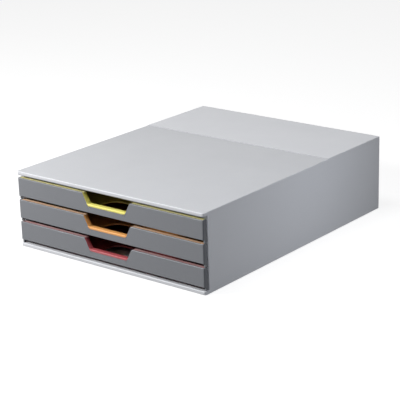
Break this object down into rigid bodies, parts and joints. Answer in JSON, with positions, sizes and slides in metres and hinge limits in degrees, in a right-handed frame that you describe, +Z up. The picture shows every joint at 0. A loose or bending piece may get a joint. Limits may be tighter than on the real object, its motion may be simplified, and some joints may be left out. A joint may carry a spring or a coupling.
{
  "type": "desktop file drawer",
  "caption": "Low desktop box with pull-out letter-tray drawers: light grey casing with a two-level top, grey fronts with a coloured edge and a trapezoid grip recess.",
  "frame": {"origin": "middle of the footprint, on the plane of the feet", "axes": "+Z up; the drawers open towards -Y; +X is to the right when the fronts are seen from the front"},
  "size_m": [0.28, 0.356, 0.095],
  "materials": {
    "casing_plastic": "light grey moulded polystyrene, fine satin texture",
    "front_plastic": "mid grey moulded polystyrene, fine satin texture",
    "tray_yellow": "yellow moulded polystyrene, satin",
    "tray_orange": "orange moulded polystyrene, satin",
    "tray_red": "red moulded polystyrene, satin",
    "rubber_feet": "dark grey rubber, matt",
    "screw_steel": "zinc plated steel"
  },
  "bodies": {
    "casing": {"top_cover": "casing_plastic", "base_tray": "casing_plastic", "left_side_wall": "casing_plastic", "right_side_wall": "casing_plastic", "back_panel": "casing_plastic", "left_runner_bottom": "casing_plastic", "left_runner_middle": "casing_plastic", "left_runner_top": "casing_plastic", "right_runner_bottom": "casing_plastic", "right_runner_middle": "casing_plastic", "right_runner_top": "casing_plastic", "foot_front_left": "rubber_feet", "foot_front_right": "rubber_feet", "foot_rear_left": "rubber_feet", "foot_rear_right": "rubber_feet", "base_screws": "screw_steel"},
    "bottom_drawer": {"bottom_drawer_tray": "tray_red", "bottom_drawer_front": "front_plastic"},
    "middle_drawer": {"middle_drawer_tray": "tray_orange", "middle_drawer_front": "front_plastic"},
    "top_drawer": {"top_drawer_tray": "tray_yellow", "top_drawer_front": "front_plastic"}
  },
  "joints": [
    {"name": "bottom_drawer_slide", "type": "slide", "parent": "casing", "child": "bottom_drawer", "axis": [0, -1, 0], "range_m": [0, 0.25]},
    {"name": "middle_drawer_slide", "type": "slide", "parent": "casing", "child": "middle_drawer", "axis": [0, -1, 0], "range_m": [0, 0.25]},
    {"name": "top_drawer_slide", "type": "slide", "parent": "casing", "child": "top_drawer", "axis": [0, -1, 0], "range_m": [0, 0.25]}
  ]
}
